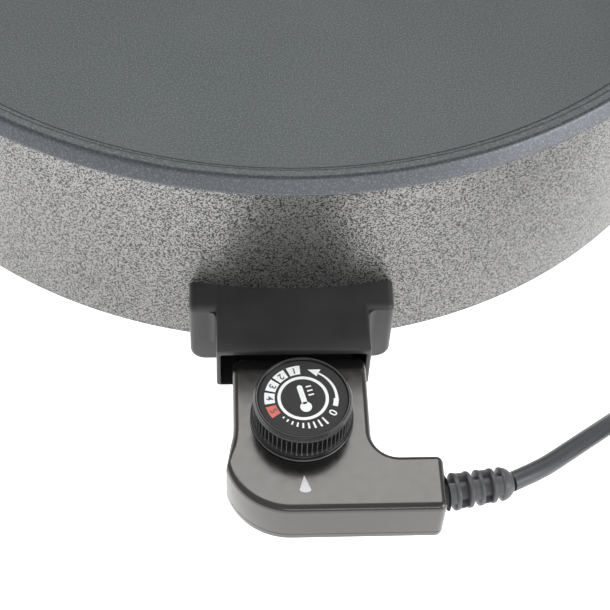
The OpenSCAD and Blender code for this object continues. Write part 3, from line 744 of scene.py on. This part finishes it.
knob_profile = (
    [(16.2, KNOB_Z), (18.4, KNOB_Z)]
    + arc((18.4, KNOB_Z + 0.45), 0.45, -80, 70, 5)
    + [(18.0, KNOB_Z + 1.0), (17.95, KNOB_Z + 1.25)]
    + arc((17.95, KNOB_Z + 1.65), 0.35, -60, 70, 4)
    + [(17.6, KNOB_Z + 2.2), (17.75, KNOB_Z + 2.5)]
    + [(GRIP_R, GRIP[0] + 0.01 + (GRIP[1] - GRIP[0] - 0.02) * t) for t in (0, 0.06, 0.3, 0.6, 0.94, 1)]
    + [(17.6, KNOB_Z + 11.8)]
    + arc((16.95, KNOB_Z + 12.0), 0.65, 0, 50, 4)
    + [(17.3, KNOB_Z + 12.6)]
    + arc((16.7, KNOB_Z + 13.05), 0.6, -5, 160, 10)
    + [(15.98, DIAL_Z), (15.96, DIAL_Z - 0.6), (3.0, DIAL_Z - 0.6), (3.0, KNOB_Z + 2), (7, KNOB_Z + 2),
       (7, KNOB_Z + 9), (15, KNOB_Z + 9)]
)
piece("knob", [loft(revolve(knob_profile, KNURLS * 10, KNOB_X, KNOB_Y, knurl), wrap=True)],
      MATERIALS["knob_plastic"], "knob", ["knob_cap"], sharp=40)


# A print starts just under the surface it lies on and ends just above it
PRINT_LOW, PRINT_TOP = -0.02, 0.04


def flat(points, z=DIAL_Z, t=PRINT_TOP):
    """A thin printed shape from (x, y) points of the frame."""
    return loft([[(x, y, z + h) for x, y in points] for h in (PRINT_LOW, t)])


def on_dial(angle, radius):
    """A place on the dial, its angle in degrees."""
    a = math.radians(angle)
    return KNOB_X + radius * math.cos(a), KNOB_Y + radius * math.sin(a)


def band(a0, a1, r0, r1, steps=12):
    """A printed stretch of a ring; each radius may be one number or a (start, end) pair."""
    r0 = r0 if isinstance(r0, tuple) else (r0, r0)
    r1 = r1 if isinstance(r1, tuple) else (r1, r1)
    at = [i / steps for i in range(steps + 1)]
    outer = [on_dial(a0 + (a1 - a0) * t, r1[0] + (r1[1] - r1[0]) * t) for t in at]
    inner = [on_dial(a0 + (a1 - a0) * t, r0[0] + (r0[1] - r0[0]) * t) for t in reversed(at)]
    return flat(outer + inner)


def ring_print(r0, r1, n=96):
    """A whole printed ring."""
    levels = [(r0, PRINT_LOW), (r1, PRINT_LOW), (r1, PRINT_TOP), (r0, PRINT_TOP)]
    return loft([[(*on_dial(360 * i / n, r), DIAL_Z + h) for i in range(n)] for r, h in levels], wrap=True)


def digit(name, text, angle, radius, size, material, z):
    """One dial number, its head towards the middle."""
    curve = bpy.data.curves.new(name, "FONT")
    curve.body, curve.size, curve.extrude = text, size * MM, 0.03 * MM
    curve.offset = 0.06 * MM
    curve.align_x, curve.align_y = "CENTER", "CENTER"
    o = bpy.data.objects.new(name, curve)
    mesh = bpy.data.meshes.new_from_object(o)
    bpy.data.objects.remove(o)
    x, y = on_dial(angle, radius)
    turn = Matrix.Rotation(math.radians(angle + 90), 4, "Z")
    mesh.transform(Matrix.Translation(Vector((x, y, z)) * MM) @ turn)
    mesh.materials.clear()
    mesh.materials.append(material)
    o = add(name, mesh)
    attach(o, "knob")


# The numbers on white fields and their angles, and the red field of the highest one
STEPS = [("1", 104), ("2", 130), ("3", 155), ("4", 180)]
MAX_STEP = ("5", 206)
FIELD = (10.2, 13.9)
FIELD_HALF_A = 10.5


def field(angle):
    """The printed field behind a number."""
    return band(angle - FIELD_HALF_A, angle + FIELD_HALF_A, *FIELD)


white = [ring_print(8.05, 9.2)]
white += [field(a) for _, a in STEPS]
# The arrow beside the numbers: its foot, its shaft and its head
white += [band(-17, -1, 10.9, 12.7), band(-1, 62, (11.5, 11.7), (12.6, 12.35), 24),
          flat([on_dial(61, 10.6), on_dial(61, 13.9), on_dial(80.5, 12.3)])]
# A scale of ticks that grows round the front of the dial
white += [band(a - 1.6, a + 1.6, 10.4, 11.2 + 0.32 * k) for k, a in enumerate(range(228, 318, 10))]
# A thermometer in the middle: its stem, its bulb and three marks
tilt = Matrix.Rotation(math.radians(14), 2)
stem = [tilt @ Vector(p) for p in rounded(-1.0, 1.0, -2.6, 5.6, 0.9, 0.95)]
bulb = [tilt @ Vector(p) for p in circle(32, 2.1, (0, -3.8))]
white += [flat([(KNOB_X + p.x, KNOB_Y + p.y) for p in shape]) for shape in (stem, bulb)]
for k in range(3):
    low = 0.4 + 1.8 * k
    mark = [tilt @ Vector(p) for p in ((2.2, low), (4.2, low), (4.2, low + 0.6), (2.2, low + 0.6))]
    white.append(flat([(KNOB_X + p.x, KNOB_Y + p.y) for p in mark]))
piece("dial_marks", white, PRINT_WHITE, "knob")
piece("dial_mark_max", [field(MAX_STEP[1])], PRINT_RED, "knob")
for text, angle in STEPS + [MAX_STEP]:
    digit("number_" + text, text, angle, 12.05, 3.6, PRINT_DARK, DIAL_Z + 0.05)
digit("number_0", "0", -31, 12.3, 4.2, PRINT_WHITE, DIAL_Z + 0.02)

# The pointer on the housing, a drop with its tip towards the dial
pointer = [(2.0, -235.6), (0.15, -241.6), (1.0, -242.3), (2.25, -242.5), (3.5, -242.3), (4.35, -241.6)]
piece("pointer", [flat(pointer, CASE_TOP, 0.05)], POINTER_GREY, "thermostat")


# ---------------------------------------------------------------- strain relief
RELIEF_AT = Vector((52.3, -238.2, 36.4))
RELIEF_L = 26.0
RELIEF_R = 7.0
RELIEF_TAPER = 0.9
RELIEF_START = 1.3
RELIEF_CORE = CORD_D / 2 + 0.45
relief_frame = (Matrix.Translation(RELIEF_AT) @ Matrix.Rotation(math.radians(10.5), 4, "Z")
                @ Matrix.Rotation(math.radians(92.3), 4, "Y"))

# Gaps along the relief: (start, end, kind). A "sides" gap leaves webs in front and behind, a "faces"
# gap leaves them at the sides.
GAPS = [(1.1, 3.4, "sides"), (5.3, 8.4, "faces"), (10.2, 12.5, "sides"), (14.3, 17.3, "faces"),
        (19.1, 21.2, "sides")]


def relief_radius(r, z, a):
    """Full rings joined by webs that change places from gap to gap."""
    for start, end, kind in GAPS:
        if start < z < end:
            # an angle of 0 points down, and one web of a "sides" gap looks up and to the front
            across = abs(math.sin(a - math.radians(35)))
            web = across < 0.62 if kind == "sides" else across > 0.86
            return r if web else RELIEF_CORE
    return r


def relief_outer(z):
    """The relief's full radius at a distance along it."""
    return RELIEF_R - RELIEF_TAPER * (z - RELIEF_START) / (RELIEF_L - RELIEF_START)


relief_profile = [(4.9, -5.0), (4.9, 0.2), (4.4, 0.5), (4.4, 0.9)]
edges = sorted(z for start, end, _ in GAPS for z in (start, end))
for k, z in enumerate(edges):
    r = relief_outer(z)
    if k % 2 == 0:
        relief_profile += [(r - 0.35, z - 0.02), (r - 0.35, z + 0.12), (r - 0.35, z + 1.0)]
    else:
        relief_profile += [(r - 0.35, z - 0.12), (r - 0.35, z + 0.02), (r - 0.05, z + 0.3), (r, z + 0.6)]
    if k % 2 == 1 and k + 1 < len(edges):
        after = edges[k + 1]
        relief_profile += [(relief_outer(after - 0.5), after - 0.5), (relief_outer(after) - 0.1, after - 0.2)]
relief_profile += [(6.0, 22.8), (5.6, 23.8), (5.0, 24.7), (CORD_D / 2 + 0.5, 25.5), (CORD_D / 2 + 0.1, 25.95),
                   (CORD_D / 2 - 0.4, 25.95)]
piece("relief", [loft(revolve(relief_profile, 96, radius=relief_radius))], MATERIALS["relief_rubber"],
      "thermostat", ["strain_relief"], matrix=relief_frame, sharp=40)


# ---------------------------------------------------------------- cord
# From the strain relief down to the table
CORD_ROUTE = [
    (77.6, -233.5, 35.4), (82, -231, 34.3), (88, -227.3, 32.5), (94.4, -222.7, 30.2),
    (107, -212.3, 25.4), (119.5, -201.5, 19.6), (131, -191.2, 13.7), (142, -181, 8.8),
    (152, -170.7, 5.2), (162.5, -159.9, CORD_D / 2),
]
# From the top of the coil to the plug
TAIL_ROUTE = [
    (180, -150.6, 2.5 * CORD_D), (190.5, -147.7, 17.9), (201, -143.8, 16.8), (210.5, -137.1, 15.9),
    (217.3, -127.8, 15.6), (220.9, -117.2, 16), (222.1, -107.4, 16.9), (222.3, -98, 17.5),
]
PLUG_AT = Vector(TAIL_ROUTE[-1])
# Where on the coil the cord comes in, and how far it winds, in degrees
COIL_START = 131
COIL_SWEEP = 1461


def smooth(points, steps):
    """A smooth curve through the points of a route."""
    p = [Vector(q) for q in points]
    line = []
    for i in range(len(p) - 1):
        a, b, c, d = p[max(i - 1, 0)], p[i], p[i + 1], p[min(i + 2, len(p) - 1)]
        for k in range(steps):
            t = k / steps
            square, cube = 2 * a - 5 * b + 4 * c - d, 3 * b - a - 3 * c + d
            line.append(0.5 * (2 * b + (c - a) * t + square * t * t + cube * t ** 3))
    return line + [p[-1]]


def coil(start, sweep):
    """The coil's turns, wound clockwise: outside, then inside, and up a layer when a layer is full."""
    outer, inner = COIL_R + CORD_D / 2, COIL_R - CORD_D / 2
    layer = [CORD_D / 2, CORD_D * 1.5, CORD_D * 2.5]
    # (angle, radius, height) between which the cord moves smoothly
    moves = [(0, outer, layer[0]), (260, outer, layer[0]), (360, inner, layer[0]), (550, inner, layer[0]),
             (620, inner, layer[1]), (810, inner, layer[1]), (910, outer, layer[1]), (1100, outer, layer[1]),
             (1170, outer, layer[2]), (sweep, outer, layer[2])]
    line = []
    for angle in range(0, sweep + 1, 3):
        for (a0, r0, z0), (a1, r1, z1) in zip(moves, moves[1:]):
            if a0 <= angle <= a1:
                t = (angle - a0) / (a1 - a0)
                t = t * t * (3 - 2 * t)
                r, z = r0 + (r1 - r0) * t, z0 + (z1 - z0) * t
                break
        theta = math.radians(start - angle)
        line.append(Vector((COIL_AT[0] + r * math.cos(theta), COIL_AT[1] + r * math.sin(theta), z)))
    return line


cord_line = smooth(CORD_ROUTE, 6)[:-1] + coil(COIL_START, COIL_SWEEP) + smooth(TAIL_ROUTE, 6)
cord_curve = bpy.data.curves.new("cord_lead", "CURVE")
cord_curve.dimensions = "3D"
cord_curve.bevel_depth = (CORD_D / 2 - 0.02) * MM
cord_curve.bevel_resolution = 6
cord_curve.use_fill_caps = True
spline = cord_curve.splines.new("POLY")
spline.points.add(len(cord_line) - 1)
for point, place in zip(spline.points, cord_line):
    point.co = (*(place * MM), 1.0)
spline.use_smooth = True
cord_curve.materials.append(MATERIALS["cord_pvc"])
lead = add("cord_lead", cord_curve)
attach(lead, "thermostat")
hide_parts("cord", "cord_coil", "cord_tail")

# The tie round the coil: a flat band that goes round its section once
TIE_T = 1.05
TIE_HALF_W = 2.9
TIE_CORNER_R = 2.6
tie_angle = math.radians(215)
tie_frame = Matrix.Translation((COIL_AT[0], COIL_AT[1], 0)) @ Matrix.Rotation(tie_angle, 4, "Z")
tie_rings = []
for inset, sides in ((0.0, (-TIE_HALF_W, TIE_HALF_W)), (TIE_T, (TIE_HALF_W, -TIE_HALF_W))):
    section = rounded(COIL_R - CORD_D - TIE_T + inset, COIL_R + CORD_D + TIE_T - inset,
                      0.02 + inset * 0.5, 3 * CORD_D + TIE_T - inset, TIE_CORNER_R, TIE_CORNER_R)
    tie_rings += [[(x, y, z) for x, z in section] for y in sides]
tie = piece("tie", [loft(tie_rings, wrap=True)], MATERIALS["foot_plastic"], "thermostat",
            ["coil_tie"], matrix=tie_frame)


# ---------------------------------------------------------------- plug
PLUG_R = 17.5
PLUG_L = 42
# Wider than this the plug is its body, and thinner its neck
PLUG_BODY_R = 15


def plug_radius(r, h, a):
    """Grip ribs on the waist and the two recesses for the earth clips."""
    if h > 27 and r > PLUG_BODY_R and abs(math.sin(a)) > 0.93:
        return r - 2.2
    if 25.5 < h < 38 and r > PLUG_BODY_R and abs(math.cos(a)) > 0.55:
        return r - 0.35 * (1 - math.cos(36 * a))
    return r


# The neck's rings, then the flared body
plug_profile = [(3.3, 0.6), (4.6, 0.0), (5.0, 0.3)]
for k in range(5):
    start = 2.2 + 3.0 * k
    r = 5.0 + 0.5 * k
    plug_profile += [(r, start - 1.0), (r, start), (r - 0.9, start + 0.3), (r - 0.9, start + 1.3),
                     (r + 0.3, start + 1.7)]
plug_profile += [(7.5, 17.0), (8.6, 17.4), (10.4, 18.4), (13.2, 20.6), (16.2, 23.2), (17.3, 24.6)]
plug_profile += [(PLUG_R, h) for h in (25.6, 27.2, 31, 34, 37.8, PLUG_L - 1.0)]
plug_profile += [(PLUG_R - 0.4, PLUG_L - 0.3), (PLUG_R - 1.1, PLUG_L)]
plug_frame = Matrix.Translation(PLUG_AT) @ Matrix.Rotation(math.radians(-90), 4, "X")
plug = piece("plug", [loft(revolve(plug_profile, 144, radius=plug_radius), caps=(False, True))],
             MATERIALS["cord_pvc"], "thermostat", ["plug_body"], matrix=plug_frame, sharp=40)
clips = []
for s in (-1, 1):
    z = PLUG_AT.z + s * 15.6
    clips.append(block(PLUG_AT.x - 2.6, PLUG_AT.x + 2.6, PLUG_AT.y + 29, PLUG_AT.y + PLUG_L - 0.4,
                       z - 0.4, z + 0.4))
earth_clips = piece("earth_clips", clips, MATERIALS["pin_metal"], "thermostat")


# ---------------------------------------------------------------- finishes of the CAD nodes
for part in frame["record"]["subparts"]:
    o = frame["nodes"][part["node"]]
    o.data.materials.clear()
    o.data.materials.append(MATERIALS[part["material_slot"]])


# ---------------------------------------------------------------- floor, light and camera
FLOOR_HALF = 15
floor_mesh = bpy.data.meshes.new("floor")
corners = [(-FLOOR_HALF, -FLOOR_HALF, 0), (FLOOR_HALF, -FLOOR_HALF, 0), (FLOOR_HALF, FLOOR_HALF, 0),
           (-FLOOR_HALF, FLOOR_HALF, 0)]
floor_mesh.from_pydata(corners, [], [(0, 1, 2, 3)])
floor_material, _, floor_shader, _ = base_material("floor", (0.9, 0.9, 0.9), 0.9, specular=0.1)
floor_shader.inputs["Emission Color"].default_value = (1, 1, 1, 1)
floor_shader.inputs["Emission Strength"].default_value = 1.1
floor_mesh.materials.append(floor_material)
floor = add("floor", floor_mesh)
floor.location = (0, 0, -0.2 * MM)

world = bpy.data.worlds.new("studio")
world.use_nodes = True
world.node_tree.nodes["Background"].inputs["Color"].default_value = (1, 1, 1, 1)
world.node_tree.nodes["Background"].inputs["Strength"].default_value = 0.55
bpy.context.scene.world = world


def softbox(name, place, size, power):
    """A rectangular light that faces the object."""
    light = bpy.data.lights.new(name, "AREA")
    light.shape, light.size, light.size_y = "RECTANGLE", *size
    light.energy = power
    o = add(name, light)
    o.location = place
    o.rotation_mode = "QUATERNION"
    o.rotation_quaternion = (-Vector(place)).to_track_quat("-Z", "Y")


softbox("key", (0.0, 1.5, 2.3), (3.0, 1.8), 60)
softbox("side", (1.7, -1.05, 0.75), (1.2, 1.0), 19)
softbox("front", (0.3, -2.4, 1.25), (1.3, 0.22), 6)

# The camera's place in millimetres, and its turns to the right, down and about its own axis
CAMERA_AT = Vector((-27.5, -519.1, 540.1))
YAW, PITCH, ROLL = math.radians(5.23), math.radians(53.93), math.radians(3.63)
ahead = Vector((math.sin(YAW) * math.cos(PITCH), math.cos(YAW) * math.cos(PITCH), -math.sin(PITCH)))
level = Vector((math.cos(YAW), -math.sin(YAW), 0))
above = level.cross(ahead)
right = level * math.cos(ROLL) + above * math.sin(ROLL)
up = above * math.cos(ROLL) - level * math.sin(ROLL)
camera_data = bpy.data.cameras.new("camera")
camera_data.sensor_width = 36
camera_data.lens = 94.43
camera = add("camera", camera_data)
camera.matrix_world = Matrix.Translation(CAMERA_AT * MM) @ Matrix((right, up, -ahead)).transposed().to_4x4()
bpy.context.scene.camera = camera
bpy.context.scene.view_settings.view_transform = "Standard"
